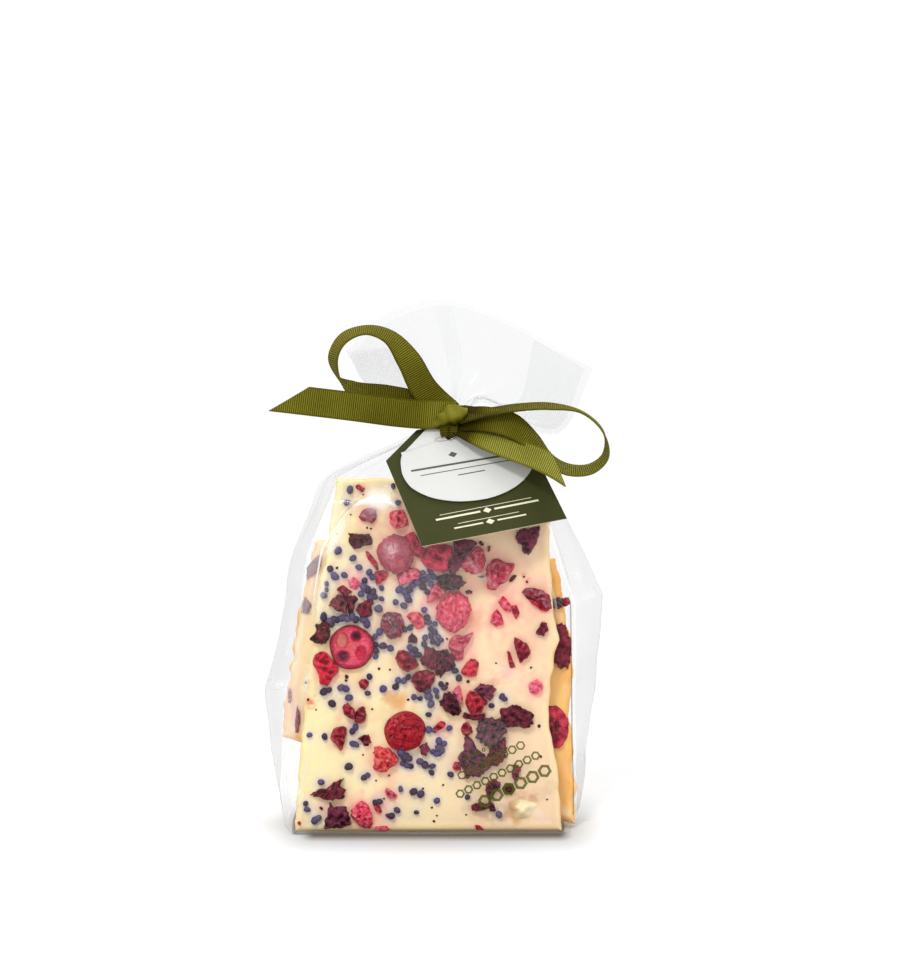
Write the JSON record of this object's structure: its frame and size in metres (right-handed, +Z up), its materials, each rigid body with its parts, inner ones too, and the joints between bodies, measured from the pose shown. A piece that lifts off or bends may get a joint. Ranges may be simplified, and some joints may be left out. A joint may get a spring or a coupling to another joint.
{
  "type": "gift bag of white chocolate bark",
  "caption": "Clear flat-bottomed film bag of white chocolate bark slabs with dried fruit and sugar pearls, gathered at the neck by a grosgrain ribbon bow with two blank swing tags.",
  "frame": {"origin": "on the surface the bag stands on, under the middle of its flat base", "axes": "+Z up through the neck; the front face with the tags looks along -Y; +X is to the right seen from the front"},
  "size_m": [0.1155, 0.0552, 0.179],
  "materials": {
    "clear_film": "thin clear glossy film, creased at the folds and pleated at the tie",
    "grosgrain": "olive grosgrain ribbon with fine ribs across its width and a plain edge",
    "green_card": "dark green printed card, satin, with a pale cut edge",
    "white_card": "white uncoated card, matt",
    "white_chocolate": "cream white chocolate, satin, with poured edges and a slightly uneven face",
    "dried_berry": "dried and freeze-dried red berries, wrinkled, partly glossy",
    "plum_flake": "dark plum flakes with rough broken faces",
    "sugar_pearl": "small blue-violet sugar pearls, matt",
    "film_print": "thin olive ink printed on the film"
  },
  "bodies": {
    "root": {"bag": "clear_film", "ribbon_bow": "grosgrain", "green_tag": "green_card", "white_tag": "white_card"}
  },
  "joints": []
}
